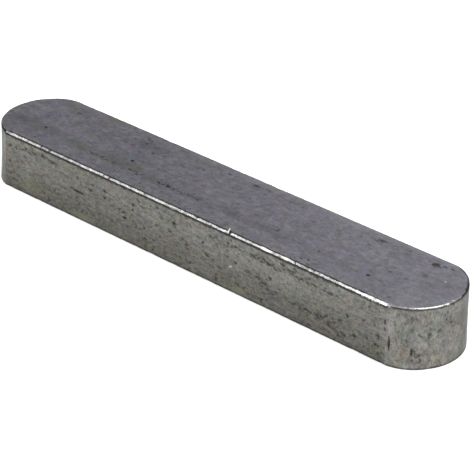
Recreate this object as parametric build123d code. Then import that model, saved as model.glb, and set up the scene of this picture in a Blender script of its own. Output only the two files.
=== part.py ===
"""Parallel key with two round ends, cut from one bar of bright drawn key steel.

The key lies on its shaft seat. X runs along the key, Y across its two driving flanks and
Z up, and the origin is the middle of the shaft seat. All sizes are in millimetres.
"""

from build123d import *
import os

# The finished key.
LENGTH = 80.0  # over both round ends
WIDTH = 14.0  # across the driving flanks, which fill the keyway
HEIGHT = 9.0  # from the shaft seat up to the hub face

# The cutter that rounds the ends is a little larger than the bar is wide, so each end
# meets the flanks in a faint upright corner, and not in a smooth tangent.
END_OVERSIZE = 0.3  # how much the radius of the ends is over half the width

# The long and round edges are broken at 45 degrees, to clear the fillet at the foot of
# the keyway and the hub's sharp corners.
SEAT_EDGE_BREAK = 0.3  # leg of the chamfer round the shaft seat
HUB_EDGE_BREAK = 0.3  # leg of the chamfer round the hub face


def key_bar():
    """The drawn bar at the key's length, with its four long edges broken."""
    section = Plane.YZ * Pos(0, HEIGHT / 2) * Rectangle(WIDTH, HEIGHT)
    bar = extrude(section, amount=LENGTH / 2, both=True)
    bar = chamfer(bar.edges().filter_by(Axis.X).group_by(Axis.Z)[0], SEAT_EDGE_BREAK)
    return chamfer(bar.edges().filter_by(Axis.X).group_by(Axis.Z)[-1], HUB_EDGE_BREAK)


def end_cut():
    """The space inside both end cuts: round at the two ends, with the same broken edges."""
    end_radius = WIDTH / 2 + END_OVERSIZE
    inside = extrude(SlotOverall(LENGTH, 2 * end_radius), amount=HEIGHT)
    inside = chamfer(inside.faces().sort_by(Axis.Z).first.edges(), SEAT_EDGE_BREAK)
    return chamfer(inside.faces().sort_by(Axis.Z).last.edges(), HUB_EDGE_BREAK)


def parallel_key():
    """The bar, left only where it lies inside both end cuts."""
    return key_bar() & end_cut()


os.makedirs("parts", exist_ok=True)
export_step(parallel_key(), "parts/parallel_key.step")
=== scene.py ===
"""A parallel key of drawn key steel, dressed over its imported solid, in a plain studio.

The key lies on its shaft seat. X runs along the key, Y across its driving flanks and Z up.
The classes hold their sizes in millimetres, which the key is modelled in, and a finished mesh
is brought to metres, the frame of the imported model.
"""

import logging
import math
import random
from dataclasses import dataclass, field
from enum import Enum

import bmesh
import bpy
from mathutils import Matrix, Vector, kdtree, noise


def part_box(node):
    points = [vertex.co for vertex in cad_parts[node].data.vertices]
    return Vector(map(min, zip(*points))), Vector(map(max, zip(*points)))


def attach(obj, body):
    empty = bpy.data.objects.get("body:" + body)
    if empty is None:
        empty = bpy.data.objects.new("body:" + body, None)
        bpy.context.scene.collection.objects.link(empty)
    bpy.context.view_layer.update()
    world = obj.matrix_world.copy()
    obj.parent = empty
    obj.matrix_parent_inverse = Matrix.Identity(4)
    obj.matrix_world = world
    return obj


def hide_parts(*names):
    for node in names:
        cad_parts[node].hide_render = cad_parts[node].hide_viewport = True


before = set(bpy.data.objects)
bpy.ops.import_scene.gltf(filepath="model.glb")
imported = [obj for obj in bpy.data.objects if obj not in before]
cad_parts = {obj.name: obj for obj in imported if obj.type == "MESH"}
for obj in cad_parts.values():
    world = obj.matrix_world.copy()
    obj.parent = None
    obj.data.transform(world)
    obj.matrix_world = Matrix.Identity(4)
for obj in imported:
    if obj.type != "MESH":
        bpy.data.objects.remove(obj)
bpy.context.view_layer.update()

LOG = logging.getLogger("parallel_key")
MM = 0.001  # a millimetre in metres
CAD_NODE = "parallel_key"
CAD_BODY = "root"

Colour = tuple[float, float, float]
Triple = tuple[float, float, float]
Arcs = tuple[tuple[float, float], ...]  # degrees round from the front, to the right


class Side(Enum):
    """A face of the key that a mark can lie on."""

    HUB_FACE = "hub face"
    SHAFT_SEAT = "shaft seat"
    FRONT_FLANK = "front flank"
    BACK_FLANK = "back flank"
    RIGHT_END = "right end"
    LEFT_END = "left end"


class Surface(Enum):
    """How a face of the key was finished; the value is its material slot."""

    GROUND = 0
    DRAWN = 1
    MILLED = 2
    BURNISHED = 3


class Trace(Enum):
    """What the mesh remembers at each point; the value is the attribute's name, and the scar's."""

    OIL = "oil"  # dried, yellow-green
    TEMPER = "temper"  # the blue that heat leaves
    STAIN = "stain"
    RUST = "rust"
    # bright rubbed metal, and painted highlight where a scar stands in for light
    SHINE = "shine"
    RIM = "rim"  # millimetres from the nearest border of a broken edge; no scar leaves it


def placed(bm: bmesh.types.BMesh, name: str) -> bpy.types.Object:
    """Turns a modelled mesh into an object of the scene.

    Args:
        bm: The mesh, which is used up.
        name: The object's name.

    Returns:
        The object, at the origin.
    """
    mesh = bpy.data.meshes.new(name)
    bm.to_mesh(mesh)
    bm.free()
    thing = bpy.data.objects.new(name, mesh)
    bpy.context.scene.collection.objects.link(thing)
    return thing


# --------------------------------------------------------------------------------------
# The key's form
# --------------------------------------------------------------------------------------


@dataclass(frozen=True)
class Spot:
    """A point on the key's skin, with the directions along, across and out of the skin."""

    point: Vector
    along: Vector
    across: Vector
    outward: Vector


@dataclass(frozen=True)
class KeyForm:
    """The key's outline and section, in millimetres."""

    length: float
    width: float
    height: float
    end_radius: float  # of the cutter that rounds the ends, a little over half the width
    edge_break: float  # leg of the chamfer along the flanks
    end_break: float  # leg of the chamfer round the ends, which the cutter leaves smaller
    break_blend: float = 1.5  # how far round an end its chamfer takes to grow to the flanks'
    left_flare: float = 0.5  # how much further the left end reaches at its foot than at its top
    right_flare: float = 0.2  # and how much further the right end does
    trim: float = 0.1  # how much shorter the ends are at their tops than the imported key's
    askew: float = 0.11  # how far the cutter stood to the back at the right, and to the front at the left
    straight_share: float = 0.75  # share of the half length that the end cut leaves alone

    @classmethod
    def from_packed_node(
        cls, node: str, end_oversize: float, edge_break: float, end_break: float
    ) -> "KeyForm":
        """Reads the key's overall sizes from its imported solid.

        Args:
            node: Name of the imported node.
            end_oversize: How much the ends' radius is over half the width.
            edge_break: Leg of the chamfer along the flanks.
            end_break: Leg of the chamfer round the ends.

        Returns:
            The form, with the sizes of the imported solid.
        """
        low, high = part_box(node)
        length, width, height = (high - low) / MM
        return cls(length, width, height, width / 2 + end_oversize, edge_break, end_break)

    @property
    def arc_centre(self) -> float:
        """Distance along X from the middle of the key to the axis of each round end."""
        return self.length / 2 - self.end_radius

    def break_at(self, from_corner: float) -> float:
        """Finds the chamfer's leg on an end.

        Args:
            from_corner: Distance from the flank, across the end.

        Returns:
            The leg there.
        """
        share = min(1.0, from_corner / self.break_blend)
        return self.edge_break + share**2 * (3 - 2 * share) * (self.end_break - self.edge_break)

    def milled(self, block: Vector) -> Vector:
        """Finds where a point of the square-ended block lies on the round-ended key.

        Args:
            block: A point of the block.

        Returns:
            The same point of the key.
        """
        from_end = self.length / 2 - abs(block.x)
        from_flank = self.width / 2 - abs(block.y)
        inset = min(self.edge_break, from_end, from_flank)
        leg = self.break_at(from_flank)
        half_width = self.width / 2 - inset
        half_length = self.length / 2 - inset
        radius = self.end_radius - inset / self.edge_break * leg
        shift = self.askew * block.x / half_length
        low, high = (math.asin((side - shift) / radius) for side in (-half_width, half_width))
        y = shift + radius * math.sin((low + high + block.y / half_width * (high - low)) / 2)
        cut_start = self.straight_share * half_length
        past_start = max(0.0, abs(block.x) - cut_start) / (half_length - cut_start)
        arc_x = self.arc_centre + math.sqrt(radius**2 - (y - shift) ** 2)
        x = min(abs(block.x), cut_start) + past_start * (arc_x - cut_start)
        z = self._eased(block.z, leg) if from_end <= min(from_flank, self.edge_break) else block.z
        x += past_start * self._reach(z, block.x < 0)
        return Vector((math.copysign(x, block.x), y, z))

    def _reach(self, height: float, on_left: bool) -> float:
        """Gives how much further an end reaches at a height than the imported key's does."""
        flare = self.left_flare if on_left else self.right_flare
        return flare * (1 - height / self.height) ** 2 - self.trim

    def _eased(self, height: float, leg: float) -> float:
        """Moves a point of an end up or down as its chamfer's leg asks.

        Args:
            height: The point's height on the block.
            leg: The chamfer's leg there.

        Returns:
            The height on the key.
        """
        middle = self.height / 2
        level = middle - abs(height - middle)
        if level < self.edge_break:
            moved = level / self.edge_break * leg
        else:
            moved = leg + (level - self.edge_break) / (middle - self.edge_break) * (middle - leg)
        return middle + math.copysign(middle - moved, height - middle)

    def from_rim(self, point: Vector) -> float:
        """Measures how far a point of the hub face or the seat lies inside the rim of its face.

        Args:
            point: The point.

        Returns:
            The distance, in millimetres.
        """
        from_flank = self.width / 2 - abs(point.y)
        inside = from_flank - self.edge_break
        if abs(point.x) > self.arc_centre:
            way = math.copysign(1, point.x)
            centre = Vector((self.arc_centre + self._reach(point.z, way < 0), self.askew)) * way
            rim_radius = self.end_radius - self.break_at(from_flank)
            inside = min(inside, rim_radius - (point.xy - centre).length)
        return max(0.0, inside)

    def outward(self, point: Vector) -> Vector:
        """Finds the level direction out of the key's outline nearest to a point.

        Args:
            point: A point of the key.

        Returns:
            The direction, of length one.
        """
        if abs(point.x) > self.arc_centre:
            centre = math.copysign(1, point.x) * Vector((self.arc_centre, self.askew))
            return (point.xy - centre).to_3d().normalized()
        return Vector((0, math.copysign(1, point.y), 0))

    def spot(self, side: Side, along: float, up: float) -> Spot:
        """Finds a place on the key's skin.

        Args:
            side: The face it lies on.
            along: Distance along the key, or round an end from its tip towards the back.
            up: Distance across the hub face or seat, or up from the seat on a wall.

        Returns:
            The point and the directions there.
        """
        x_axis, y_axis, z_axis = Vector((1, 0, 0)), Vector((0, 1, 0)), Vector((0, 0, 1))
        if side is Side.HUB_FACE:
            return Spot(Vector((along, up, self.height)), x_axis, y_axis, z_axis)
        if side is Side.SHAFT_SEAT:
            return Spot(Vector((along, up, 0)), x_axis, y_axis, -z_axis)
        if side is Side.FRONT_FLANK:
            return Spot(Vector((along, -self.width / 2, up)), x_axis, z_axis, -y_axis)
        if side is Side.BACK_FLANK:
            return Spot(Vector((along, self.width / 2, up)), x_axis, z_axis, y_axis)
        angle = along / self.end_radius
        way = 1 if side is Side.RIGHT_END else -1
        outward = Vector((way * math.cos(angle), math.sin(angle), 0))
        centre = self.arc_centre + self._reach(up, side is Side.LEFT_END)
        point = Vector((way * centre, way * self.askew, up)) + outward * self.end_radius
        return Spot(point, Vector((-way * math.sin(angle), math.cos(angle), 0)), z_axis, outward)


@dataclass(frozen=True)
class Scar:
    """A pit, scratch, stained place or painted highlight, as an oval on one face, in millimetres."""

    side: Side
    along: float
    up: float
    length: float
    width: float
    depth: float = 0.03
    stain: float = 0.0
    rust: float = 0.0
    shine: float = 0.0
    temper: float = 0.0
    oil: float = 0.0
    slant: float = 0.0  # degrees from the run of the face
    ragged: float = 0.8  # how much its outline wanders
    crisp: float = 1.6  # how sharply its stain ends

    def fine(self, width: float, faint: float) -> bool:
        """Tells whether the scar is no wider than a width and leaves more than a faint trace."""
        return min(self.length, self.width) <= width and max(self.shine, self.stain) > faint


@dataclass(frozen=True)
class PitField:
    """Pits scattered over one face."""

    side: Side
    count: int
    half_run: float  # how far the pits reach each way along the face
    low: float
    high: float
    mean_length: float
    stretch: float  # length over width
    depth: float
    stain: float
    seed: int
    slant: float = 0.0
    size_spread: float = 0.45
    slant_spread: float = 18.0  # degrees
    palest: float = 0.4  # share of the stain that the palest pit has

    def scars(self) -> list[Scar]:
        """Scatters the pits.

        Returns:
            The pits, the same ones in every run.
        """
        chance = random.Random(self.seed)
        pits = []
        for _ in range(self.count):
            length = self.mean_length * math.exp(chance.gauss(0, self.size_spread))
            pits.append(
                Scar(
                    self.side,
                    chance.uniform(-self.half_run, self.half_run),
                    chance.uniform(self.low, self.high),
                    length,
                    length / self.stretch,
                    self.depth,
                    self.stain * chance.uniform(self.palest, 1.0),
                    slant=self.slant + chance.gauss(0, self.slant_spread),
                )
            )
        return pits


@dataclass(frozen=True)
class PitRow:
    """Pits strung along a line, as drawing and rolling leave them, in millimetres."""

    side: Side
    start: tuple[float, float]
    end: tuple[float, float]
    count: int
    length: float
    width: float
    stain: float
    rust: float = 0.0
    depth: float = 0.03
    wander: float = 0.25  # how far the pits stray from the line
    seed: int = 1
    slip: float = 0.4  # how far a pit may slip along the line, as a share of the spacing
    sizes: tuple[float, float] = (0.6, 1.4)  # the least and the largest, for the mean of one
    palest: float = 0.5  # share of the stain that the palest pit has
    least_rusty: float = 0.3  # and of the rust
    slant_spread: float = 12.0  # degrees

    def scars(self) -> list[Scar]:
        """Lays the pits.

        Returns:
            The pits, the same ones in every run.
        """
        chance = random.Random(self.seed)
        pits = []
        for step in range(self.count):
            share = (step + chance.uniform(-self.slip, self.slip)) / max(1, self.count - 1)
            along, up = (a + (b - a) * share for a, b in zip(self.start, self.end, strict=True))
            size = chance.uniform(*self.sizes)
            pits.append(
                Scar(
                    self.side,
                    along,
                    up + chance.gauss(0, self.wander),
                    self.length * size,
                    self.width * size,
                    self.depth,
                    self.stain * chance.uniform(self.palest, 1.0),
                    self.rust * chance.uniform(self.least_rusty, 1.0),
                    slant=chance.gauss(0, self.slant_spread),
                )
            )
        return pits


@dataclass
class KeyBody:
    """The key's visible body: the drawn blank, its milled ends, broken edges and wear."""

    form: KeyForm
    scars: list[Scar]
    columns: int = 296  # along the key
    rows: int = 60  # across the hub face and round the ends
    courses: int = 32  # up the walls
    edge_rows: int = 6  # across each broken edge
    seed_offset: Vector = field(default_factory=lambda: Vector((11.3, 4.7, 2.1)))
    on_face: float = 0.003  # how near a face of the block a point counts as lying on it
    edge_wear: float = 0.06  # how deep the broken edges are worn where that is most
    edge_wear_cells: tuple[float, float] = (0.5, 2.6)  # per millimetre, slow and quick
    quick_wear: float = 0.8  # how strong the quick wear is beside the slow
    end_fill: float = 0.04  # how much of the ends' broken edges the dark line fills beside the wall; partly grime, partly painted shade
    hub_fill: float = 0.03  # how much of the flanks' it fills beside the hub face
    seat_fill: float = 0.1  # how much of the seat's it fills from both sides
    grime_and_shade_hub: Arcs = ((-14.0, 4.0), (112.0, 158.0))  # where the dark line, partly grime and partly painted shade, lines the hub face
    grime_and_shade_break: Arcs = ((-120.0, -12.0), (98.0, 165.0))  # where it lines the ends' broken edges
    rim_thinning: float = 0.06  # how much thinner it gets with each degree past those places
    rim_thinned: float = 0.6  # how much thinner it gets at the most
    rim_thinned_seat: float = 0.15  # how much thinner it is beside the seat's edge on a flank
    rim_thinned_foot: float = 0.04  # how much thinner it is there on an end
    fine_width: float = 0.3  # scars as narrow as this need the finest skin
    faint: float = 0.6  # but not those that stain or shine no more than this
    skin_under: float = 1.2  # how deep below a scar the skin still belongs to it, in edge breaks
    outline_cells: float = 3.1  # per millimetre, in the ragged outline of a scar
    sink_curve: float = 1.5  # how slowly a scar deepens from its outline
    crease: float = 28.0  # degrees between two faces that meet in a sharp edge
    name: str = "key_body"

    def blank(self) -> bmesh.types.BMesh:
        """Cuts the bar to length, breaks its edges and divides its skin.

        Returns:
            The square-ended block, with each face's finish as its material index.
        """
        form = self.form
        bm = bmesh.new()
        bmesh.ops.create_cube(bm, size=1.0)
        bmesh.ops.scale(bm, vec=(form.length, form.width, form.height), verts=bm.verts)
        bmesh.ops.translate(bm, vec=(0, 0, form.height / 2), verts=bm.verts)
        rims = [e for e in bm.edges if abs(self._run(e).z) < form.edge_break]
        bmesh.ops.bevel(
            bm,
            geom=rims,
            offset=form.edge_break,
            offset_type="OFFSET",
            segments=1,
            profile=0.5,
            affect="EDGES",
            material=-1,
            clamp_overlap=False,
        )
        bm.normal_update()
        for face in bm.faces:
            face.material_index = self._finish_of(face.normal).value
            face.smooth = True
        mitres = [e for e in bm.edges if e.calc_length() < form.width / 2]
        for edge in mitres:
            edge.smooth = False
        cuts = ((mitres, self.edge_rows), (None, self.columns), (None, self.rows), (None, self.courses))
        for axis, (edges, parts) in enumerate(cuts, start=-1):
            if edges is None:
                half_side = (form.length, form.width, form.height)[axis] / 2
                edges = [e for e in bm.edges if abs(self._run(e)[axis]) > half_side]
            bmesh.ops.subdivide_edges(bm, edges=edges, cuts=parts - 1, use_grid_fill=True)
        return bm

    @staticmethod
    def _run(edge: bmesh.types.BMEdge) -> Vector:
        """Gives the way from an edge's one end to its other."""
        return edge.verts[1].co - edge.verts[0].co

    @staticmethod
    def _finish_of(normal: Vector) -> Surface:
        """Tells how a face of the block is finished from the way it looks.

        Args:
            normal: The face's outward direction.

        Returns:
            The finish.
        """
        nearly_square = 0.9
        if abs(normal.z) > nearly_square:
            return Surface.GROUND
        if abs(normal.y) > nearly_square:
            return Surface.DRAWN
        if abs(normal.x) > nearly_square:
            return Surface.MILLED
        return Surface.BURNISHED

    def mark_rims(self, bm: bmesh.types.BMesh) -> None:
        """Remembers how far each point of the block lies from the borders of a broken edge.

        Args:
            bm: The block, before its ends are milled.
        """
        form = self.form
        rim = bm.verts.layers.float[Trace.RIM.value]
        for vert in bm.verts:
            from_end = form.length / 2 - abs(vert.co.x)
            from_flank = form.width / 2 - abs(vert.co.y)
            inset = min(from_end, from_flank)
            level = min(vert.co.z, form.height - vert.co.z)
            low = vert.co.z < form.height / 2
            milled = form.milled(vert.co)
            outward = form.outward(milled)
            # the distances are stretched where the dark line beside an edge, partly grime and partly
            # painted shade, is to be thinner
            if level < self.on_face:
                vert[rim] = form.from_rim(milled) + self._rim_thinned(outward, self.grime_and_shade_hub)
            elif inset < self.on_face:
                thinned = self.rim_thinned_foot if from_end < from_flank else self.rim_thinned_seat
                vert[rim] = max(0.0, level - form.edge_break) + low * thinned
            elif low:
                vert[rim] = max(0.0, min(inset, level) - self.seat_fill)
            elif from_flank < from_end:
                vert[rim] = max(0.0, min(inset, level - self.hub_fill)) * math.sqrt(2)
            else:
                inset -= self.end_fill
                vert[rim] = max(0.0, min(inset, self._rim_thinned(outward, self.grime_and_shade_break))) * math.sqrt(2)

    def _rim_thinned(self, outward: Vector, grime_and_shade: Arcs) -> float:
        """Tells how much thinner the dark line beside a broken edge, partly grime and partly painted
        shade, is on one side of the key.

        Args:
            outward: The level direction out of the key on that side.
            grime_and_shade: Where the line is at its thickest.

        Returns:
            How much of the dark line is missing, in millimetres.
        """
        around = math.degrees(math.atan2(outward.x, -outward.y))
        past = min(max(0.0, low - around, around - high) for low, high in grime_and_shade)
        return min(self.rim_thinned, past * self.rim_thinning)

    def mill_ends(self, bm: bmesh.types.BMesh) -> None:
        """Rounds both ends of the block, as the end cut does.

        Args:
            bm: The block.
        """
        for vert in bm.verts:
            vert.co = self.form.milled(vert.co)

    def refine(self, bm: bmesh.types.BMesh, scars: list[Scar]) -> None:
        """Halves the skin's cells where scars lie.

        Args:
            bm: The milled key.
            scars: The scars that need a finer skin.
        """
        tree = self._tree(bm)
        near: set[int] = set()
        for scar in scars:
            if not scar.depth:
                continue
            spot = self.form.spot(scar.side, scar.along, scar.up)
            reach = max(scar.length, scar.width) / 2 + self.form.edge_break / 2
            near.update(index for _, index, _ in tree.find_range(spot.point, reach))
        edges = [e for e in bm.edges if e.verts[0].index in near and e.verts[1].index in near]
        bmesh.ops.subdivide_edges(bm, edges=edges, cuts=1, use_grid_fill=True)

    @staticmethod
    def _tree(bm: bmesh.types.BMesh) -> kdtree.KDTree:
        """Sorts the mesh's points so that those near a place are found quickly.

        Args:
            bm: The mesh.

        Returns:
            The sorted points, by their indices.
        """
        bm.verts.ensure_lookup_table()
        bm.verts.index_update()
        tree = kdtree.KDTree(len(bm.verts))
        for vert in bm.verts:
            tree.insert(vert.co, vert.index)
        tree.balance()
        return tree

    def wear_edges(self, bm: bmesh.types.BMesh) -> None:
        """Rubs the broken edges uneven, as handling and the tumbling drum leave them.

        Args:
            bm: The milled key.
        """
        form = self.form
        slow, quick = self.edge_wear_cells
        worn = {v for f in bm.faces if f.material_index == Surface.BURNISHED.value for v in f.verts}
        for vert in worn:
            inward = Vector((0, 0, math.copysign(1, form.height / 2 - vert.co.z))) - form.outward(vert.co)
            place = vert.co + self.seed_offset
            rub = noise.noise(place * slow) + self.quick_wear * noise.noise(place * quick)
            vert.co += inward.normalized() * max(0.0, rub) * self.edge_wear

    def press_scars(self, bm: bmesh.types.BMesh) -> None:
        """Sinks the scars into the skin and remembers what each leaves there.

        Args:
            bm: The refined key.
        """
        tree = self._tree(bm)
        layers = {trace: bm.verts.layers.float[trace.value] for trace in Trace}
        for scar in self.scars:
            self._press(bm, tree, layers, scar)

    def _press(
        self,
        bm: bmesh.types.BMesh,
        tree: kdtree.KDTree,
        layers: dict[Trace, bmesh.types.BMLayerItem],
        scar: Scar,
    ) -> None:
        """Sinks one scar.

        Args:
            bm: The refined key.
            tree: Its points, sorted.
            layers: Where the mesh keeps its traces.
            scar: The scar.
        """
        spot = self.form.spot(scar.side, scar.along, scar.up)
        turn = Matrix.Rotation(math.radians(scar.slant), 3, spot.outward)
        along, across = turn @ spot.along, turn @ spot.across
        reach = max(scar.length, scar.width)
        deepest = self.form.edge_break * self.skin_under
        for place, index, _ in tree.find_range(spot.point, reach):
            offset = place - spot.point
            if abs(offset.dot(spot.outward)) > deepest:
                continue
            run = offset.dot(along) / (scar.length / 2)
            breadth = offset.dot(across) / (scar.width / 2)
            unevenness = noise.noise(place * self.outline_cells + self.seed_offset)
            edge = run**2 + breadth**2 + scar.ragged * unevenness
            if edge >= 1:
                continue
            vert = bm.verts[index]
            vert.co -= spot.outward * scar.depth * (1 - max(0.0, edge)) ** self.sink_curve
            cover = min(1.0, scar.crisp * (1 - edge))
            for trace, layer in layers.items():
                if trace is not Trace.RIM:
                    vert[layer] = max(vert[layer], getattr(scar, trace.value) * cover)

    def build(self) -> bpy.types.Object:
        """Makes the whole body.

        Returns:
            The body's object, at the origin, with its mesh in metres.
        """
        bm = self.blank()
        for trace in Trace:
            bm.verts.layers.float.new(trace.value)
        self.mark_rims(bm)
        self.mill_ends(bm)
        self.refine(bm, self.scars)
        self.refine(bm, [scar for scar in self.scars if scar.fine(self.fine_width, self.faint)])
        self.wear_edges(bm)
        self.press_scars(bm)
        for edge in bm.edges:
            edge.smooth = edge.smooth and edge.calc_face_angle(0.0) < math.radians(self.crease)
        bmesh.ops.recalc_face_normals(bm, faces=bm.faces)
        bmesh.ops.scale(bm, vec=(MM, MM, MM), verts=bm.verts)
        return placed(bm, self.name)


# --------------------------------------------------------------------------------------
# The finishes
# --------------------------------------------------------------------------------------

Feed = bpy.types.NodeSocket | float | tuple


@dataclass
class Board:
    """One node tree, with short ways to place and join its nodes."""

    tree: bpy.types.NodeTree

    def node(self, kind: str, **settings: object) -> bpy.types.Node:
        """Places a node.

        Args:
            kind: The node's type.
            settings: Its properties.

        Returns:
            The node.
        """
        made = self.tree.nodes.new(kind)
        for name, value in settings.items():
            setattr(made, name, value)
        return made

    def feed(self, target: bpy.types.NodeSocket, source: Feed) -> None:
        """Joins a socket to another, or sets it.

        Args:
            target: The input.
            source: The output that feeds it, or its value.
        """
        if isinstance(source, bpy.types.NodeSocket):
            self.tree.links.new(source, target)
        elif isinstance(source, tuple) and len(target.default_value) > len(source):
            target.default_value = (*source, 1.0)
        else:
            target.default_value = source

    def maths(self, operation: str, *terms: Feed, clamp: bool = False) -> bpy.types.NodeSocket:
        """Works out a number.

        Args:
            operation: The Math node's operation.
            terms: Its inputs.
            clamp: Whether the result stays between 0 and 1.

        Returns:
            The result.
        """
        return self._worked_out(self.node("ShaderNodeMath", operation=operation, use_clamp=clamp), terms)

    def vector(self, operation: str, *terms: Feed) -> bpy.types.NodeSocket:
        """Works out three numbers at once.

        Args:
            operation: The Vector Math node's operation.
            terms: Its inputs.

        Returns:
            The result.
        """
        return self._worked_out(self.node("ShaderNodeVectorMath", operation=operation), terms)

    def _worked_out(self, node: bpy.types.Node, terms: tuple[Feed, ...]) -> bpy.types.NodeSocket:
        """Gives a node its terms.

        Args:
            node: The node.
            terms: What it works with, in the order of its inputs.

        Returns:
            Its result.
        """
        for target, term in zip(node.inputs, terms, strict=False):
            self.feed(target, term)
        return node.outputs[0]

    def blend(self, share: Feed, first: Feed, second: Feed, how: str = "MIX") -> bpy.types.NodeSocket:
        """Mixes two colours.

        Args:
            share: How much of the second.
            first: The first colour.
            second: The second colour.
            how: The blend type.

        Returns:
            The mixed colour.
        """
        mix = self.node("ShaderNodeMix", data_type="RGBA", blend_type=how)
        self.feed(mix.inputs[0], share)
        self.feed(mix.inputs[6], first)
        self.feed(mix.inputs[7], second)
        return mix.outputs[2]

    def fade(self, distance: Feed, start: Feed, reach: Feed) -> bpy.types.NodeSocket:
        """Fades smoothly from one to nothing.

        Args:
            distance: How far the place is.
            start: Where the fade starts.
            reach: Where it ends.

        Returns:
            The share that is left.
        """
        ramp = self.node("ShaderNodeMapRange", interpolation_type="SMOOTHSTEP")
        terms = {"Value": distance, "From Min": start, "From Max": reach, "To Min": 1.0, "To Max": 0.0}
        for label, term in terms.items():
            self.feed(ramp.inputs[label], term)
        return ramp.outputs["Result"]

    def speckle(
        self, place: Feed, cells: Feed, detail: float, rough: float, result: str = "Fac"
    ) -> bpy.types.NodeSocket:
        """Lays a soft random pattern.

        Args:
            place: Where the pattern is read, in metres.
            cells: How many cells it has to the metre along each axis.
            detail: How many finer layers it has.
            rough: How strong they are.
            result: Fac for one number, Color for three that differ.

        Returns:
            The pattern, which varies about one half.
        """
        pattern = self.node("ShaderNodeTexNoise")
        self.feed(pattern.inputs["Vector"], self.vector("MULTIPLY", place, cells))
        self.feed(pattern.inputs["Scale"], 1.0)
        self.feed(pattern.inputs["Detail"], detail)
        self.feed(pattern.inputs["Roughness"], rough)
        return pattern.outputs[result]


@dataclass(frozen=True)
class EffectGroup:
    """The start of a shader node group: its board and the nodes at its two ends."""

    board: Board
    given: bpy.types.Node
    result: bpy.types.Node


def new_effect(name: str, inputs: dict[str, str], outputs: dict[str, str]) -> EffectGroup:
    """Starts a shader node group.

    Args:
        name: The group's name.
        inputs: Each input's name and socket type.
        outputs: Each output's name and socket type.

    Returns:
        The group, with nothing between its ends.
    """
    tree = bpy.data.node_groups.new(name, "ShaderNodeTree")
    for way, sockets in (("INPUT", inputs), ("OUTPUT", outputs)):
        for label, kind in sockets.items():
            tree.interface.new_socket(label, in_out=way, socket_type=kind)
    board = Board(tree)
    return EffectGroup(board, board.node("NodeGroupInput"), board.node("NodeGroupOutput"))


NUMBER, VECTOR, TINT = "NodeSocketFloat", "NodeSocketVector", "NodeSocketColor"


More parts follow.
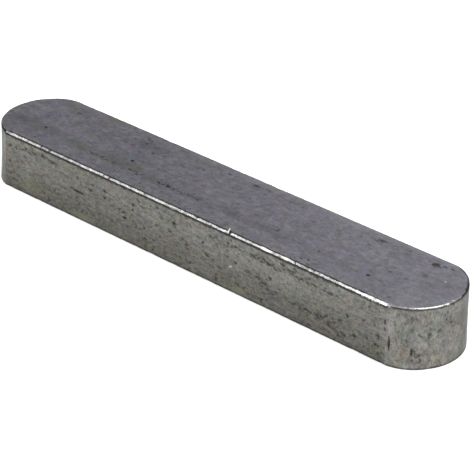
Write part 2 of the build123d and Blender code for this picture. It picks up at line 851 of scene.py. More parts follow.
@dataclass
class SteelEffects:
    """The effects that the key's finishes share, each built once."""

    trees: dict[str, bpy.types.NodeTree] = field(default_factory=dict)
    slow_drift: float = 0.2  # the cells of the grain's slow drift, as a share of the grain's own
    crowding: float = 0.35  # how much more the pits crowd in one place than in another
    pit_steepness: float = 9.0
    rim_core: float = 0.3  # share of a dark rim's reach that is at its darkest
    rust_dulls: float = 0.35  # how much rougher rust makes the steel
    shine_smooths: float = 0.15  # how much smoother a rubbed place is
    rust_covers: float = 0.8  # how much of the metal rust hides

    def build(self) -> "SteelEffects":
        """Builds every effect.

        Returns:
            The set itself.
        """
        self.trees = {
            "clouding": self._clouding(),
            "seat_shade": self._seat_shade(),
            "grain": self._grain(),
            "pitting": self._pitting(),
            "traces": self._traces(),
        }
        return self

    def _clouding(self) -> bpy.types.NodeTree:
        """Builds the steel's drift of colour, each of its three parts on its own.

        Returns:
            The group.
        """
        effect = new_effect(
            "steel clouding",
            {"Place": VECTOR, "Cells": VECTOR, "Steel": TINT, "Swing": VECTOR},
            {"Colour": TINT},
        )
        board, given = effect.board, effect.given.outputs
        cloud = board.speckle(given["Place"], given["Cells"], detail=3.0, rough=0.58, result="Color")
        centred = board.vector("SUBTRACT", cloud, (0.5, 0.5, 0.5))
        swung = board.vector("MULTIPLY_ADD", centred, given["Swing"], (1.0, 1.0, 1.0))
        board.feed(effect.result.inputs["Colour"], board.vector("MULTIPLY", given["Steel"], swung))
        return board.tree

    def _seat_shade(self) -> bpy.types.NodeTree:
        """Builds the painted shade that darkens a wall more and more towards the seat.

        Returns:
            The group.
        """
        effect = new_effect(
            "painted seat shade",
            {"Place": VECTOR, "Depth": VECTOR, "Top": NUMBER},
            {"Shade": VECTOR},
        )
        board, given = effect.board, effect.given.outputs
        place = board.node("ShaderNodeSeparateXYZ")
        board.feed(place.inputs[0], given["Place"])
        level = board.maths("DIVIDE", place.outputs["Z"], given["Top"])
        dimmed = board.vector("MULTIPLY", given["Depth"], board.maths("SUBTRACT", 1.0, level, clamp=True))
        shade = board.vector("SUBTRACT", (1.0, 1.0, 1.0), dimmed)
        board.feed(effect.result.inputs["Shade"], shade)
        return board.tree

    def _grain(self) -> bpy.types.NodeTree:
        """Builds the fine grain of a worked face and its slow drift, as shade and as height.

        Returns:
            The group.
        """
        effect = new_effect(
            "worked grain",
            {"Place": VECTOR, "Cells": VECTOR, "Contrast": NUMBER, "Drift": NUMBER},
            {"Shade": NUMBER, "Height": NUMBER},
        )
        board, given = effect.board, effect.given.outputs
        pattern = board.speckle(given["Place"], given["Cells"], detail=4.0, rough=1.0)
        shade = board.maths("MULTIPLY_ADD", board.maths("SUBTRACT", pattern, 0.5), given["Contrast"], 1.0)
        slow_cells = board.vector("MULTIPLY", given["Cells"], (self.slow_drift,) * 3)
        slow = board.speckle(given["Place"], slow_cells, detail=1.0, rough=0.5)
        drift = board.maths("MULTIPLY_ADD", board.maths("SUBTRACT", slow, 0.5), given["Drift"], 1.0)
        board.feed(effect.result.inputs["Shade"], board.maths("MULTIPLY", shade, drift))
        board.feed(effect.result.inputs["Height"], pattern)
        return board.tree

    def _pitting(self) -> bpy.types.NodeTree:
        """Builds fine pits, which thin out and crowd together from place to place.

        Returns:
            The group.
        """
        effect = new_effect(
            "fine pitting",
            {"Place": VECTOR, "Cells": VECTOR, "Share": NUMBER, "Crowding": VECTOR},
            {"Pits": NUMBER},
        )
        board, given = effect.board, effect.given.outputs
        pattern = board.speckle(given["Place"], given["Cells"], detail=1.5, rough=0.5)
        crowd = board.speckle(given["Place"], given["Crowding"], detail=1.0, rough=0.5)
        level = board.maths("MULTIPLY_ADD", crowd, self.crowding, given["Share"])
        depth = board.maths("SUBTRACT", board.maths("ADD", pattern, level), 1.0)
        pits = board.maths("MULTIPLY", depth, self.pit_steepness, clamp=True)
        board.feed(effect.result.inputs["Pits"], pits)
        return board.tree

    def _traces(self) -> bpy.types.NodeTree:
        """Builds what the mesh's own traces do to the steel: dark rims, partly grime and partly painted
        shade, stains, rust, bright metal, some of it painted highlight.

        Returns:
            The group.
        """
        effect = new_effect(
            "handling traces",
            {"Colour": TINT, "Roughness": NUMBER, "Rim": NUMBER, "Reach": NUMBER, "Waver": NUMBER},
            {"Colour": TINT, "Roughness": NUMBER, "Metal": NUMBER},
        )
        board, given = effect.board, effect.given.outputs
        amount = {
            trace: board.node("ShaderNodeAttribute", attribute_name=trace.value).outputs["Fac"]
            for trace in Trace
        }
        # the dark of stains, and of the dark rims, which are partly grime and partly painted shade
        dark_stain_and_shade = (0.022, 0.022, 0.021)
        tints = {
            Trace.OIL: (0.160, 0.166, 0.120),
            Trace.TEMPER: (0.163, 0.203, 0.252),
            Trace.STAIN: dark_stain_and_shade,
            Trace.RUST: (0.06, 0.03, 0.022),
            # bright rubbed metal, and painted highlight
            Trace.SHINE: (0.85, 0.85, 0.83),
        }
        distance = board.maths("ADD", amount[Trace.RIM], given["Waver"])
        start = board.maths("MULTIPLY", given["Reach"], self.rim_core)
        rim = board.maths("MULTIPLY", board.fade(distance, start, given["Reach"]), given["Rim"])
        colour = board.blend(rim, given["Colour"], dark_stain_and_shade)
        for trace, tint in tints.items():
            colour = board.blend(amount[trace], colour, tint)
        board.feed(effect.result.inputs["Colour"], colour)
        dull = board.maths("MULTIPLY_ADD", amount[Trace.RUST], self.rust_dulls, given["Roughness"])
        rough = board.maths("MULTIPLY_ADD", amount[Trace.SHINE], -self.shine_smooths, dull, clamp=True)
        board.feed(effect.result.inputs["Roughness"], rough)
        metal = board.maths("MULTIPLY_ADD", amount[Trace.RUST], -self.rust_covers, 1.0, clamp=True)
        board.feed(effect.result.inputs["Metal"], metal)
        return board.tree

    def place(self, board: Board, effect: str, **given: Feed) -> bpy.types.Node:
        """Places an effect in a material.

        Args:
            board: The material's board.
            effect: The effect's name.
            given: Its inputs, with spaces as underscores.

        Returns:
            The group's node.
        """
        node = board.node("ShaderNodeGroup", node_tree=self.trees[effect])
        for name, value in given.items():
            board.feed(node.inputs[name.replace("_", " ")], value)
        return node


@dataclass(frozen=True)
class SteelFinish:
    """One worked face of the key: its colour, grain, pits and sheen.

    Cells are per millimetre along X, Y and Z.
    """

    surface: Surface
    steel: Colour
    swing: Triple  # how much each part of the colour drifts
    cloud_cells: Triple
    grain_cells: Triple
    grain_contrast: float
    drift: float  # contrast of the slow change from light to dark
    pit_cells: Triple
    pit_share: float
    pit_dark: float  # how much darker the steel is in a pit
    roughness: float
    roughness_swing: float
    relief: float  # height of the grain, in millimetres
    rim: float  # how dark the steel is beside the border of a broken edge; partly grime, partly painted shade
    rim_reach: float  # how far that goes, in millimetres
    rim_waver: float = 0.3  # how much that reach varies with the grain
    film: Triple = (0.0, 0.0, 0.0)  # painted shade: how much darker the seat's end of a wall is
    seat_shade_top: float = 9.0  # millimetres above the seat, where the painted shade ends
    edge_tint: float = 0.6  # how bright the steel is at a glancing angle
    crowd_cells: Triple = (0.2, 0.2, 0.2)

    @staticmethod
    def _per_metre(cells: Triple) -> Triple:
        """Turns cells per millimetre into cells per metre."""
        return tuple(count / MM for count in cells)

    def dress(self, effects: SteelEffects) -> bpy.types.Material:
        """Makes the finish's material.

        Args:
            effects: The shared effects.

        Returns:
            The material.
        """
        material = bpy.data.materials.new(f"steel_{self.surface.name.lower()}")
        material.use_nodes = True
        board = Board(material.node_tree)
        board.tree.nodes.clear()
        place = board.node("ShaderNodeTexCoord").outputs["Object"]
        clouds = effects.place(
            board, "clouding", Place=place, Cells=self._per_metre(self.cloud_cells), Steel=self.steel,
            Swing=self.swing,
        )
        grain = effects.place(
            board, "grain", Place=place, Cells=self._per_metre(self.grain_cells),
            Contrast=self.grain_contrast, Drift=self.drift,
        )
        pits = effects.place(
            board, "pitting", Place=place, Cells=self._per_metre(self.pit_cells), Share=self.pit_share,
            Crowding=self._per_metre(self.crowd_cells),
        ).outputs["Pits"]
        # film: the painted shade that darkens each wall towards the seat
        film = effects.place(board, "seat_shade", Place=place, Depth=self.film, Top=self.seat_shade_top * MM)
        unpitted = board.maths("MULTIPLY_ADD", pits, -self.pit_dark, 1.0)
        shade = board.maths("MULTIPLY", grain.outputs["Shade"], unpitted)
        toned = board.node("ShaderNodeVectorMath", operation="SCALE")
        seat_shaded = board.vector("MULTIPLY", clouds.outputs["Colour"], film.outputs["Shade"])
        board.feed(toned.inputs[0], seat_shaded)
        board.feed(toned.inputs["Scale"], shade)
        swing = board.maths("SUBTRACT", grain.outputs["Height"], 0.5)
        rough = board.maths("MULTIPLY_ADD", swing, self.roughness_swing, self.roughness)
        traces = effects.place(
            board, "traces", Colour=toned.outputs[0], Roughness=rough, Rim=self.rim, Reach=self.rim_reach,
            Waver=board.maths("MULTIPLY", swing, self.rim_waver),
        )
        bump = board.node("ShaderNodeBump")
        board.feed(bump.inputs["Distance"], self.relief * MM)
        board.feed(bump.inputs["Height"], board.maths("SUBTRACT", grain.outputs["Height"], pits))
        steel = board.node("ShaderNodeBsdfPrincipled")
        board.feed(steel.inputs["Base Color"], traces.outputs["Colour"])
        board.feed(steel.inputs["Roughness"], traces.outputs["Roughness"])
        board.feed(steel.inputs["Metallic"], traces.outputs["Metal"])
        board.feed(steel.inputs["Normal"], bump.outputs["Normal"])
        board.feed(steel.inputs["Specular Tint"], (self.edge_tint, self.edge_tint, self.edge_tint))
        out = board.node("ShaderNodeOutputMaterial")
        board.feed(out.inputs["Surface"], steel.outputs["BSDF"])
        return material


def steel_finishes() -> list[SteelFinish]:
    """Lists the key's finishes.

    Returns:
        The finishes, in the order of their material slots.
    """
    return [
        SteelFinish(
            Surface.GROUND,
            steel=(0.187, 0.182, 0.205), swing=(0.28, 0.18, 0.34), cloud_cells=(0.45, 0.6, 0.45),
            grain_cells=(0.9, 1.3, 1.3), grain_contrast=2.3, drift=0.3,
            pit_cells=(1.8, 2.2, 2.2), pit_share=0.09, pit_dark=0.5,
            roughness=0.42, roughness_swing=0.2, relief=0.01, rim=0.9, rim_reach=0.25,
            rim_waver=0.26,
        ),
        SteelFinish(
            Surface.DRAWN,
            steel=(0.167, 0.165, 0.152), swing=(0.34, 0.22, 0.34), cloud_cells=(0.45, 0.7, 0.7),
            grain_cells=(1.0, 2.0, 2.0), grain_contrast=4.2, drift=0.45,
            pit_cells=(1.5, 2.4, 2.4), pit_share=0.15, pit_dark=0.6,
            roughness=0.42, roughness_swing=0.25, relief=0.02, rim=0.92, rim_reach=0.5,
            rim_waver=0.6, film=(0.40, 0.41, 0.45),
        ),
        SteelFinish(
            Surface.MILLED,
            steel=(0.181, 0.179, 0.166), swing=(0.45, 0.27, 0.36), cloud_cells=(0.6, 0.6, 0.35),
            grain_cells=(1.6, 1.4, 1.0), grain_contrast=3.4, drift=0.8,
            pit_cells=(2.4, 2.4, 1.4), pit_share=0.16, pit_dark=0.5,
            roughness=0.4, roughness_swing=0.25, relief=0.02, rim=0.72, rim_reach=0.34,
            film=(0.10, 0.11, 0.14),
        ),
        SteelFinish(
            Surface.BURNISHED,
            steel=(0.345, 0.345, 0.34), swing=(0.16, 0.16, 0.16), cloud_cells=(0.8, 0.8, 0.8),
            grain_cells=(1.3, 1.8, 1.8), grain_contrast=4.4, drift=1.4,
            pit_cells=(2.0, 2.4, 2.4), pit_share=0.14, pit_dark=0.6,
            roughness=0.28, roughness_swing=0.2, relief=0.02, rim=0.95, rim_reach=0.095,
        ),
    ]


# --------------------------------------------------------------------------------------
# The studio
# --------------------------------------------------------------------------------------


@dataclass(frozen=True)
class StudioFloor:
    """A plain pale floor under the key."""

    half_size: float = 1.6  # metres
    tone: Colour = (0.6, 0.6, 0.6)
    glow: float = 0.76  # the paper is lit from below, as on a light table
    roughness: float = 0.9

    def build(self) -> bpy.types.Object:
        """Makes the floor.

        Returns:
            The floor's object.
        """
        bm = bmesh.new()
        bmesh.ops.create_grid(bm, x_segments=1, y_segments=1, size=self.half_size)
        floor = placed(bm, "studio_floor")
        material = bpy.data.materials.new("studio_paper")
        material.use_nodes = True
        paper = material.node_tree.nodes["Principled BSDF"]
        paper.inputs["Base Color"].default_value = (*self.tone, 1.0)
        paper.inputs["Roughness"].default_value = self.roughness
        paper.inputs["Specular IOR Level"].default_value = 0.0
        paper.inputs["Emission Color"].default_value = (1.0, 1.0, 1.0, 1.0)
        paper.inputs["Emission Strength"].default_value = self.glow
        floor.data.materials.append(material)
        return floor


@dataclass(frozen=True)
class SoftBox:
    """A square soft light that faces the key."""

    name: str
    towards: Triple  # from the key to the light
    distance: float  # metres
    size: float  # metres
    power: float  # watts

    def build(self) -> bpy.types.Object:
        """Hangs the light and turns it to the key.

        Returns:
            The light's object.
        """
        lamp = bpy.data.lights.new(self.name, "AREA")
        lamp.shape = "SQUARE"
        lamp.size = self.size
        lamp.energy = self.power
        light = bpy.data.objects.new(self.name, lamp)
        way = Vector(self.towards).normalized()
        turn = way.to_track_quat("Z", "Y").to_matrix().to_4x4()
        light.matrix_world = Matrix.Translation(way * self.distance) @ turn
        bpy.context.scene.collection.objects.link(light)
        return light


@dataclass(frozen=True)
class StudioRoom:
    """The pale walls and ceiling round the key, as the light they give."""

    horizon: float = 0.48  # strength of the light from the side
    ceiling: float = 1.02  # and from above

    def build(self) -> None:
        """Lights the world from a dim horizon to a bright ceiling."""
        world = bpy.data.worlds.new("studio_room")
        world.use_nodes = True
        board = Board(world.node_tree)
        board.tree.nodes.clear()
        way = board.node("ShaderNodeSeparateXYZ")
        board.feed(way.inputs[0], board.node("ShaderNodeTexCoord").outputs["Generated"])
        height = board.maths("MAXIMUM", way.outputs["Z"], 0.0)
        strength = board.maths("MULTIPLY_ADD", height, self.ceiling - self.horizon, self.horizon)
        light = board.node("ShaderNodeBackground")
        board.feed(light.inputs["Color"], (1.0, 1.0, 1.0))
        board.feed(light.inputs["Strength"], strength)
        out = board.node("ShaderNodeOutputWorld")
        board.feed(out.inputs["Surface"], light.outputs[0])
        bpy.context.scene.world = world


@dataclass(frozen=True)
class CameraStand:
    """The camera, placed by its angles round the key."""

    azimuth: float = 41.94  # degrees, from looking along +Y
    elevation: float = 29.20
    roll: float = 0.857
    distance: float = 301.9  # millimetres from the key's origin
    aside: float = 2.04  # millimetres, to the camera's right
    raised: float = 2.39  # millimetres, towards the camera's top
    lens: float = 169.66  # millimetres
    film: float = 36.0  # millimetres
    near: float = 0.01  # metres, where the camera starts to see
    far: float = 10.0  # metres, where it stops

    def build(self) -> bpy.types.Object:
        """Sets up the camera and makes it the scene's own.

        Returns:
            The camera's object.
        """
        turn, tilt, lean = (math.radians(a) for a in (self.azimuth, self.elevation, self.roll))
        back = Vector((math.sin(turn) * math.cos(tilt), -math.cos(turn) * math.cos(tilt), math.sin(tilt)))
        right = Vector((0, 0, 1)).cross(back).normalized()
        up = back.cross(right)
        right, up = (
            math.cos(lean) * right + math.sin(lean) * up,
            math.cos(lean) * up - math.sin(lean) * right,
        )
        place = (back * self.distance + right * self.aside + up * self.raised) * MM
        lens = bpy.data.cameras.new("camera")
        lens.lens = self.lens
        lens.sensor_width = self.film
        lens.clip_start = self.near
        lens.clip_end = self.far
        camera = bpy.data.objects.new("camera", lens)
        axes = Matrix((right, up, back)).transposed().to_4x4()
        camera.matrix_world = Matrix.Translation(place) @ axes
        bpy.context.scene.collection.objects.link(camera)
        bpy.context.scene.camera = camera
        return camera


# --------------------------------------------------------------------------------------
# Putting it together
# --------------------------------------------------------------------------------------


def hub_face_marks() -> list[Scar]:
    """Lists the marks of the hub face that can be told apart.

    Returns:
        Its spots and pits.
    """
    hub = Side.HUB_FACE
    spots = [
        Scar(hub, 31.7, 5.15, 1.1, 0.3, stain=0.6, slant=-8),
        Scar(hub, 32.65, 4.95, 1.2, 1.1, stain=0.95, rust=0.5),
        Scar(hub, 33.1, 4.8, 1.0, 0.7, stain=0.5, rust=0.5),
        Scar(hub, 33.95, 5.25, 1.0, 0.4, stain=0.75),
        Scar(hub, 35.0, 5.4, 1.1, 0.3, stain=0.6),
        Scar(hub, -16.5, -0.4, 1.7, 1.2, depth=0.0, temper=1.0, crisp=1.2),
        Scar(hub, 23.9, 5.1, 1.5, 0.8, stain=0.65),
        Scar(hub, 23.2, 4.7, 0.9, 0.5, stain=0.39),
        Scar(hub, 1.9, 5.1, 1.25, 0.65, stain=0.65),
        Scar(hub, 28.05, -3.05, 0.7, 0.6, stain=1),
        Scar(hub, 30.3, -3.2, 1.4, 0.65, stain=0.26),
        Scar(hub, 19.6, -2.7, 0.55, 0.5, stain=0.65),
        Scar(hub, 12.1, -2.25, 0.55, 0.5, stain=0.65),
        Scar(hub, 23.1, 3.1, 0.55, 0.45, stain=0.59),
        Scar(hub, 9.2, -3.7, 0.7, 0.6, rust=0.5),
        Scar(hub, 20.75, -6.3, 0.7, 0.5, rust=0.7),
        Scar(hub, 4.6, -3.0, 1.8, 1.5, depth=0.01, stain=0.35, rust=0.25),
        Scar(hub, 20.1, -5.3, 0.45, 0.4, stain=0.91),
        Scar(hub, 19.1, -5.6, 0.45, 0.4, stain=0.78),
        Scar(hub, -15.4, -1.2, 0.7, 0.6, stain=1),
        Scar(hub, -31.6, -2.3, 0.55, 0.5, stain=1),
        Scar(hub, -13.2, -2.1, 1.4, 1.1, depth=0.01, stain=0.25),
        Scar(hub, -12.2, -3.6, 0.9, 0.5, stain=0.65),
        Scar(hub, -17.7, 3.9, 0.8, 0.65, stain=0.65),
        Scar(hub, -20.0, 4.0, 0.55, 0.45, stain=0.52),
        Scar(hub, -14.9, 2.3, 0.7, 0.5, stain=0.59),
        Scar(hub, -13.2, 2.75, 0.55, 0.45, stain=0.65),
        Scar(hub, -31.4, 4.1, 1.05, 0.8, stain=0.39),
        Scar(hub, -32.0, 2.25, 0.9, 0.8, stain=0.33),
        Scar(hub, -3.0, 5.1, 0.8, 0.5, stain=0.59),
        Scar(hub, -6.5, 3.6, 0.7, 0.5, stain=0.52),
        Scar(hub, -9.5, 2.5, 1.15, 0.65, stain=0.33),
        Scar(hub, -5.2, 0.5, 0.7, 0.5, stain=0.52),
        Scar(hub, 9.5, -0.5, 0.3, 0.25, depth=0.01, shine=0.3),
        Scar(hub, 36.2, 2.4, 0.3, 0.25, depth=0.01, shine=0.3),
    ]
    rows = [
        PitRow(hub, (-24.0, -3.3), (-16.5, -3.4), 13, 0.8, 0.42, 0.66, seed=21, wander=0.12),
        PitRow(hub, (-15.4, -3.4), (-11.8, -3.4), 7, 0.8, 0.42, 0.7, seed=26, wander=0.12),
        PitRow(hub, (-18.4, 5.0), (-15.2, 3.2), 9, 0.65, 0.42, 0.6, seed=25, wander=0.5),
        PitRow(hub, (-9.2, -3.3), (-1.4, -3.15), 16, 0.55, 0.42, 1.0, seed=22, wander=0.1),
        PitRow(hub, (-8.8, -2.7), (-7.2, -2.7), 5, 0.44, 0.39, 0.7, seed=23),
        PitRow(hub, (-12.0, -5.4), (0.0, -5.6), 14, 0.44, 0.33, 0.42, seed=24, wander=0.5),
    ]
    return spots + [scar for row in rows for scar in row.scars()]


def flank_marks() -> list[Scar]:
    """Lists the marks of the front flank that can be told apart.

    Returns:
        Its pits, spots and one short scratch.
    """
    front = Side.FRONT_FLANK
    spots = [
        Scar(front, -20.4, 6.8, 0.7, 0.45, stain=0.65),
        Scar(front, -17.6, 6.6, 0.8, 0.45, stain=0.65),
        Scar(front, -15.0, 6.55, 0.9, 0.6, stain=0.78),
        Scar(front, -15.1, 5.6, 0.7, 0.45, stain=1),
        Scar(front, -18.0, 5.7, 1.05, 0.45, stain=0.91),
        Scar(front, -20.3, 4.6, 2.8, 0.45, stain=1),
        Scar(front, -21.6, 4.7, 1.4, 0.4, stain=0.45),
        Scar(front, -9.6, 6.55, 0.9, 0.65, stain=0.78),
        Scar(front, -9.7, 5.7, 0.55, 0.45, stain=1),
        Scar(front, -11.4, 4.7, 0.7, 0.4, stain=0.98),
        Scar(front, -11.3, 3.9, 0.9, 0.5, stain=0.98),
        Scar(front, -12.3, 4.9, 0.55, 0.4, stain=0.78),
        Scar(front, -2.0, 6.55, 0.8, 0.65, stain=0.98),
        Scar(front, -5.1, 7.75, 1.05, 0.5, stain=0.65),
        Scar(front, -5.3, 5.0, 0.55, 0.45, stain=0.78),
        Scar(front, -2.8, 5.1, 1.15, 0.3, rust=0.5, stain=0.39),
        Scar(front, -7.6, 3.7, 0.55, 0.45, stain=0.78),
        Scar(front, -7.4, 2.2, 0.55, 0.4, stain=0.91),
        Scar(front, -6.0, 1.0, 0.45, 0.45, stain=1),
        Scar(front, -13.8, 2.45, 0.7, 0.45, rust=0.4, stain=0.39),
        Scar(front, -16.0, 2.75, 0.55, 0.4, stain=0.65),
        Scar(front, -25.0, 3.2, 0.55, 0.5, stain=0.52),
        Scar(front, -31.7, 5.1, 0.9, 0.5, stain=0.45),
        Scar(front, -34.3, 4.5, 0.7, 0.65, stain=0.59),
        Scar(front, 3.3, 5.75, 0.55, 0.5, stain=1),
        Scar(front, 3.95, 4.1, 0.7, 0.45, stain=0.91),
        Scar(front, 9.1, 4.9, 0.7, 0.45, stain=0.91),
        Scar(front, 5.8, 6.4, 0.7, 0.4, stain=0.65),
        Scar(front, 15.2, 5.0, 0.8, 0.65, stain=0.78),
        Scar(front, 28.2, 4.8, 0.55, 0.65, stain=1),
        Scar(front, 29.4, 2.4, 0.7, 0.6, stain=0.78),
        Scar(front, 31.5, 2.95, 0.55, 0.5, stain=0.72),
        Scar(front, 32.8, 2.55, 0.55, 0.5, stain=0.78),
        Scar(front, 33.3, 4.0, 0.35, 1.05, stain=0.78),
        Scar(front, 33.5, 6.6, 1.0, 0.3, stain=0.6),
        Scar(front, 34.15, 6.4, 0.4, 0.9, stain=1.0),
        Scar(front, 34.2, 5.4, 0.4, 0.6, stain=0.8),
        Scar(front, 33.1, 2.5, 0.8, 0.3, stain=0.75, slant=-30),
        Scar(front, 32.5, 5.25, 0.45, 0.4, stain=0.55),
        Scar(front, 30.7, 5.15, 0.55, 0.5, stain=0.6),
        Scar(front, 25.2, 2.1, 0.8, 0.45, rust=0.4, stain=0.52),
        Scar(front, 26.8, 1.4, 0.55, 0.5, stain=0.78),
        Scar(front, 13.8, 1.25, 0.55, 0.45, stain=0.78),
        Scar(front, 8.25, 4.0, 0.9, 0.25, depth=0.01, shine=0.3, slant=25),
    ]
    rows = [
        PitRow(front, (-34.4, 6.85), (-28.6, 7.45), 14, 0.66, 0.39, 0.8, rust=0.3, seed=31, wander=0.12),
        PitRow(front, (-27.5, 7.55), (-24.9, 7.6), 9, 0.77, 0.45, 0.98, rust=0.3, seed=32, wander=0.15),
        PitRow(front, (4.6, 7.2), (6.7, 7.25), 5, 0.77, 0.33, 0.84, seed=33, wander=0.08),
        PitRow(front, (7.8, 7.1), (9.8, 7.2), 5, 0.55, 0.39, 0.91, seed=34, wander=0.2),
        PitRow(front, (11.8, 7.2), (16.8, 6.8), 17, 0.77, 0.45, 0.84, rust=0.15, seed=35),
        PitRow(front, (17.3, 7.3), (19.8, 7.1), 8, 0.7, 0.42, 0.85, rust=0.15, seed=36, wander=0.25),
        PitRow(front, (20.0, 7.15), (22.8, 7.05), 9, 0.7, 0.42, 0.8, rust=0.35, seed=37, wander=0.3),
        PitRow(front, (24.3, 6.9), (26.2, 6.85), 5, 0.77, 0.39, 0.84, seed=38, wander=0.1),
        PitRow(front, (11.3, 4.2), (14.3, 3.8), 9, 0.66, 0.39, 0.77, seed=39, wander=0.4),
        PitRow(front, (14.8, 3.0), (16.8, 3.1), 5, 0.6, 0.4, 0.65, seed=40, wander=0.25),
        PitRow(front, (18.1, 2.9), (21.2, 2.75), 7, 0.7, 0.36, 0.9, seed=41, wander=0.15),
        PitRow(front, (21.6, 2.85), (24.2, 2.8), 8, 0.85, 0.42, 1, rust=0.1, seed=42, wander=0.12),
        PitRow(front, (24.6, 2.75), (27.2, 3.1), 12, 0.55, 0.45, 0.9, rust=0.25, seed=43, wander=0.6),
        PitRow(front, (24.8, 2.1), (27.8, 1.8), 6, 0.6, 0.4, 0.6, rust=0.2, seed=45, wander=0.3),
        PitRow(front, (-0.4, 4.6), (0.9, 3.4), 7, 0.55, 0.39, 0.77, seed=44, wander=0.5),
    ]
    return spots + [scar for row in rows for scar in row.scars()]


def right_end_marks() -> list[Scar]:
    """Lists the marks that the cutter left in the right end, and two painted highlights on its broken
    edge.

    Returns:
        Its slots, pits and painted highlights.
    """
    end = Side.RIGHT_END
    return [
        Scar(end, -9.3, 3.5, 2.7, 0.46, depth=0.08, stain=1, slant=90, ragged=0.3),
        Scar(end, -6.37, 2.65, 1.4, 0.42, depth=0.08, stain=1, slant=90, ragged=0.3),
        Scar(end, -6.3, 1.7, 0.8, 0.3, stain=0.6, slant=90),
        Scar(end, -5.45, 2.2, 0.5, 0.4, stain=0.75, slant=80),
        Scar(end, -5.3, 1.6, 0.6, 0.35, stain=0.7, slant=95),
        Scar(end, -5.5, 1.2, 0.4, 0.3, stain=0.55),
        Scar(end, -5.8, 2.0, 0.45, 0.35, stain=0.6, slant=90),
        Scar(end, -5.4, 1.8, 1.4, 0.9, depth=0.0, stain=0.2, crisp=0.9),
        Scar(end, -5.25, 5.0, 1.1, 0.35, stain=0.6, slant=-48),
        Scar(end, -6.5, 7.55, 0.7, 0.45, stain=0.55, slant=90),
        Scar(end, -6.5, 6.9, 0.55, 0.3, stain=0.45, slant=90),
        Scar(end, -7.3, 6.7, 0.55, 0.4, stain=0.65),
        Scar(end, -7.05, 4.2, 1.05, 0.25, stain=0.65, slant=90),
        Scar(end, -8.6, 6.6, 1.05, 0.3, stain=0.52, slant=90),
        Scar(end, -1.0, 6.05, 0.55, 0.4, stain=0.72),
        # painted highlights: two bright beads on the end's broken edge
        Scar(end, -1.75, 8.92, 0.6, 0.2, depth=0.0, shine=0.6),
        Scar(end, -0.55, 8.92, 0.5, 0.2, depth=0.0, shine=0.5),
        Scar(end, -4.2, 5.15, 0.55, 0.4, stain=0.75),
        Scar(end, -4.6, 6.45, 0.6, 0.35, stain=0.6, slant=60),
        Scar(end, -2.95, 5.3, 0.8, 0.3, stain=0.5, slant=80),
        Scar(end, -7.95, 5.35, 0.6, 0.3, stain=0.5),
        Scar(end, -3.0, 6.2, 1.0, 0.6, depth=0.01, rust=0.15),
    ]


def edge_nicks() -> list[Scar]:
    """Lists the knocks in the front edge of the hub face.

    Returns:
        The knocks, the burr that one raised, and the places where the edge is rubbed.
    """
    hub = Side.HUB_FACE
    rubbed = {"depth": 0.0, "ragged": 0.6, "crisp": 2.0}
    return [
        Scar(hub, -27.8, -6.85, 0.5, 0.3, depth=0.06, stain=0.78, slant=62),
        Scar(hub, -26.15, -6.8, 0.8, 0.35, depth=0.05, stain=0.62, slant=40),
        Scar(hub, -23.3, -6.9, 0.7, 0.2, depth=0.03, stain=0.54, slant=15),
        Scar(hub, -15.4, -6.8, 0.4, 0.2, depth=0.05, stain=0.62, slant=80),
        Scar(hub, -14.35, -6.85, 0.6, 0.25, depth=0.05, stain=0.62, slant=55),
        Scar(hub, -7.6, -6.85, 0.4, 0.3, depth=0.06, stain=0.62, slant=70),
        Scar(hub, -1.9, -6.95, 0.9, 0.2, depth=0.03, stain=0.46, slant=8),
        Scar(hub, 2.1, -6.75, 0.7, 0.25, depth=0.06, stain=0.7, slant=50),
        Scar(hub, 4.6, -6.95, 0.6, 0.2, depth=0.04, stain=0.54, slant=20),
        Scar(hub, 6.1, -6.75, 0.5, 0.2, depth=0.04, stain=0.46, slant=35),
        Scar(hub, 7.95, -6.8, 0.7, 0.4, depth=0.07, stain=0.93, slant=84, ragged=0.4),
        Scar(hub, 13.4, -6.9, 0.5, 0.2, depth=0.04, stain=0.54, slant=30),
        Scar(hub, 16.65, -6.9, 0.4, 0.25, depth=0.03, stain=0.23, rust=0.35, slant=20),
        Scar(hub, 19.25, -6.8, 0.8, 0.2, depth=0.06, stain=0.78, slant=118),
        Scar(hub, 21.3, -6.85, 1.8, 0.35, depth=0.02, stain=0.46, ragged=1.0),
        Scar(hub, 22.4, -6.8, 0.5, 0.2, depth=0.05, stain=0.7, slant=60),
        Scar(hub, 23.1, -6.9, 0.5, 0.2, depth=0.04, stain=0.54, slant=25),
        Scar(hub, 26.0, -6.8, 0.5, 0.2, depth=0.05, stain=0.7, slant=75),
        Scar(hub, 28.3, -6.95, 1.0, 0.2, depth=0.02, rust=0.3, slant=5),
        Scar(hub, 7.42, -6.4, 1.3, 0.2, depth=-0.04, shine=0.85, slant=120, ragged=0.15),
        Scar(hub, 31.9, -6.85, 6.6, 0.3, depth=0.0, shine=0.42, ragged=0.6, crisp=3.0),
        Scar(hub, -2.4, -6.85, 2.0, 0.3, shine=0.15, **rubbed),
        Scar(hub, 13.9, -6.85, 2.2, 0.3, shine=0.4, **rubbed),
        Scar(hub, 17.8, -6.85, 1.8, 0.3, shine=0.4, **rubbed),
        Scar(hub, -34.5, -6.8, 1.6, 0.3, stain=0.5, **rubbed),
        Scar(hub, -30.0, -6.85, 2.6, 0.4, stain=0.25, **rubbed),
        Scar(hub, -23.0, -6.85, 5.0, 0.4, stain=0.3, **rubbed),
        Scar(hub, -12.2, -6.85, 2.2, 0.4, stain=0.25, **rubbed),
        Scar(hub, -6.2, -6.85, 1.8, 0.4, stain=0.15, **rubbed),
        Scar(hub, 20.0, -6.85, 2.2, 0.4, stain=0.35, **rubbed),
        Scar(hub, 25.6, -6.85, 2.4, 0.4, stain=0.25, **rubbed),
    ]


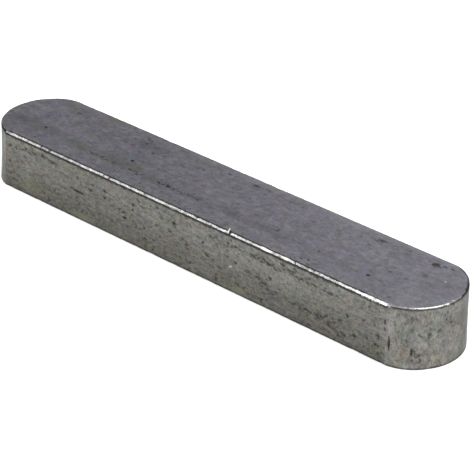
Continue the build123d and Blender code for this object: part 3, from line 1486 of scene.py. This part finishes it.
def soft_streaks() -> list[Scar]:
    """Lists the soft dark and light streaks along the faces, most of them left by rolling and handling,
    one a painted highlight.

    Returns:
        The streaks.
    """
    hub, front, end = Side.HUB_FACE, Side.FRONT_FLANK, Side.RIGHT_END
    dark = {"depth": 0.0, "ragged": 0.3, "crisp": 0.9}
    soft = {"depth": 0.0, "ragged": 0.2, "crisp": 0.8}
    band = {"depth": 0.0, "ragged": 0.9, "crisp": 1.3}
    return [
        Scar(hub, -32.5, -2.5, 13.0, 2.6, stain=0.2, oil=0.16, **band),
        Scar(hub, -24.0, -3.0, 10.0, 2.3, stain=0.22, oil=0.28, **band),
        Scar(hub, -17.0, -2.6, 9.0, 3.0, stain=0.22, oil=0.3, **band),
        Scar(hub, -9.5, -3.1, 10.0, 2.4, stain=0.22, oil=0.2, **band),
        Scar(hub, -2.5, -3.2, 8.0, 2.0, stain=0.18, oil=0.12, **band),
        Scar(hub, -11.0, -2.6, 8.0, 2.2, stain=0.27, **dark),
        Scar(hub, -18.0, -3.3, 9.0, 1.2, stain=0.27, **dark),
        Scar(hub, 6.0, -3.0, 26.0, 2.4, stain=0.17, **dark),
        Scar(hub, 24.0, -3.1, 24.0, 2.2, stain=0.1, **dark),
        Scar(hub, -33.5, -2.7, 7.0, 2.8, stain=0.24, **dark),
        Scar(hub, -16.5, 3.8, 8.0, 3.2, stain=0.3, **dark),
        Scar(hub, -17.0, -0.5, 10.0, 4.5, stain=0.12, **dark),
        Scar(hub, 36.2, 1.5, 9.0, 10.0, stain=0.13, **dark),
        Scar(hub, -22.5, 2.8, 10.0, 5.0, stain=0.11, **dark),
        Scar(hub, -11.3, -0.9, 8.0, 2.2, stain=0.13, **dark),
        Scar(hub, 11.5, -4.7, 5.0, 2.6, shine=0.04, **soft),
        Scar(hub, 11.0, 6.9, 54.0, 3.6, shine=0.09, **soft),
        Scar(hub, -31.0, 7.0, 14.0, 3.0, shine=0.06, **soft),
        Scar(hub, -5.1, 4.4, 2.6, 1.8, rust=0.2, **dark),
        Scar(hub, -13.4, 4.5, 2.8, 1.6, rust=0.18, **dark),
        Scar(hub, -25.1, 4.3, 2.8, 2.4, rust=0.16, **dark),
        Scar(hub, 21.2, -5.6, 2.2, 1.2, rust=0.12, **dark),
        Scar(hub, -13.2, -2.2, 2.0, 1.3, oil=0.8, **dark),
        Scar(hub, -20.1, -2.2, 2.4, 1.4, oil=0.7, **dark),
        Scar(hub, -25.6, 6.2, 4.0, 1.6, oil=0.6, **dark),
        Scar(hub, -33.5, 5.2, 7.0, 2.6, oil=0.4, **dark),
        Scar(front, 14.5, 7.1, 20.0, 1.0, stain=0.14, **dark),
        Scar(front, -29.5, 7.5, 10.0, 1.4, stain=0.2, **dark),
        Scar(front, -14.5, 7.7, 22.0, 2.2, stain=0.13, **dark),
        Scar(front, -20.5, 4.2, 14.0, 1.6, stain=0.14, **dark),
        Scar(front, -23.0, 2.7, 24.0, 1.8, stain=0.08, **dark),
        Scar(front, 20.0, 2.9, 22.0, 1.4, stain=0.1, **dark),
        Scar(front, -27.5, 2.9, 7.0, 3.4, stain=0.18, **dark),
        Scar(front, -15.5, 4.9, 6.0, 2.4, stain=0.12, **dark),
        Scar(front, -8.0, 4.8, 4.5, 2.2, shine=0.02, **soft),
        Scar(front, 8.5, 4.4, 6.0, 3.2, shine=0.03, **soft),
        Scar(front, 18.5, 4.3, 10.0, 2.6, shine=0.025, **soft),
        Scar(front, 29.5, 5.6, 7.0, 3.2, shine=0.025, **soft),
        Scar(front, 34.2, 5.8, 2.4, 6.4, shine=0.04, **soft),
        Scar(front, 8.0, 5.9, 54.0, 2.0, shine=0.03, **soft),
        Scar(front, -29.5, 2.2, 8.0, 2.4, oil=0.45, **dark),
        Scar(front, -19.5, 0.9, 6.0, 1.4, oil=0.7, **dark),
        Scar(front, 9.5, 0.9, 4.0, 1.4, oil=0.7, **dark),
        Scar(front, -31.4, 3.4, 3.0, 1.6, temper=0.15, oil=0.2, **dark),
        Scar(front, -32.0, 0.6, 3.0, 1.0, rust=0.25, **dark),
        Scar(front, -16.9, 0.6, 1.6, 0.8, rust=0.3, **dark),
        Scar(front, 28.0, 0.6, 9.0, 0.9, rust=0.14, **dark),
        # darkens the right end beside its front corner
        Scar(end, -7.2, 4.4, 8.4, 3.6, stain=0.2, slant=90, **dark),
        Scar(end, 0.4, 4.8, 8.0, 4.4, shine=0.025, slant=90, **soft),
        # painted highlight: a lighter band up the left end
        Scar(Side.LEFT_END, -6.2, 4.5, 9.0, 3.6, depth=0.0, shine=0.1, slant=90, crisp=1.2),
    ]


def scattered_pits(form: KeyForm) -> list[Scar]:
    """Scatters the smaller pits over every face.

    Args:
        form: The key's form.

    Returns:
        The pits.
    """
    flank_run, end_run, face_run = 34.0, 8.5, 36.0  # how far they reach each way along
    face_rim = 5.8  # how far they reach each way across the hub face and the seat
    foot = 0.8  # how far they stay from the top and the foot of a wall
    wall, face = (foot, form.height - foot), (-face_rim, face_rim)
    fields = [
        PitField(Side.FRONT_FLANK, 150, flank_run, *wall, 0.34, 1.4, 0.02, 0.65, seed=3),
        PitField(Side.BACK_FLANK, 260, flank_run, *wall, 0.42, 1.7, 0.03, 0.7, seed=5),
        PitField(Side.RIGHT_END, 60, end_run, *wall, 0.42, 1.8, 0.02, 0.55, seed=7, slant=90),
        PitField(Side.LEFT_END, 90, end_run, *wall, 0.45, 1.8, 0.03, 0.6, seed=9, slant=90),
        PitField(Side.HUB_FACE, 60, face_run, *face, 0.34, 1.3, 0.02, 0.6, seed=11),
        PitField(Side.SHAFT_SEAT, 110, face_run, *face, 0.4, 1.3, 0.02, 0.55, seed=13),
    ]
    return [scar for pits in fields for scar in pits.scars()]


def main() -> None:
    """Builds the key, its finishes and the studio, and reports the body, the lights and the camera."""
    logging.basicConfig(level=logging.INFO, format="%(message)s")
    form = KeyForm.from_packed_node(CAD_NODE, end_oversize=0.3, edge_break=0.3, end_break=0.16)
    marks = hub_face_marks() + flank_marks() + right_end_marks() + edge_nicks()
    marks += soft_streaks() + scattered_pits(form)
    body = KeyBody(form, marks).build()
    effects = SteelEffects().build()
    for finish in steel_finishes():
        body.data.materials.append(finish.dress(effects))
    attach(body, CAD_BODY)
    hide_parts(CAD_NODE)
    LOG.info("%s: %d faces", body.name, len(body.data.polygons))
    StudioFloor().build()
    StudioRoom().build()
    for box in (
        SoftBox("front_softbox", (-0.60, -0.50, 0.65), 1.2, 0.62, 2.25),
        SoftBox("overhead_softbox", (0.57, 0.06, 0.82), 1.2, 0.70, 7.2),
        SoftBox("back_softbox", (-0.20, 0.83, 0.52), 1.2, 0.62, 2.2),
    ):
        LOG.info("%s hung", box.build().name)
    LOG.info("%s set", CameraStand().build().name)
    bpy.context.scene.view_settings.view_transform = "Standard"


if __name__ == "__main__":
    main()
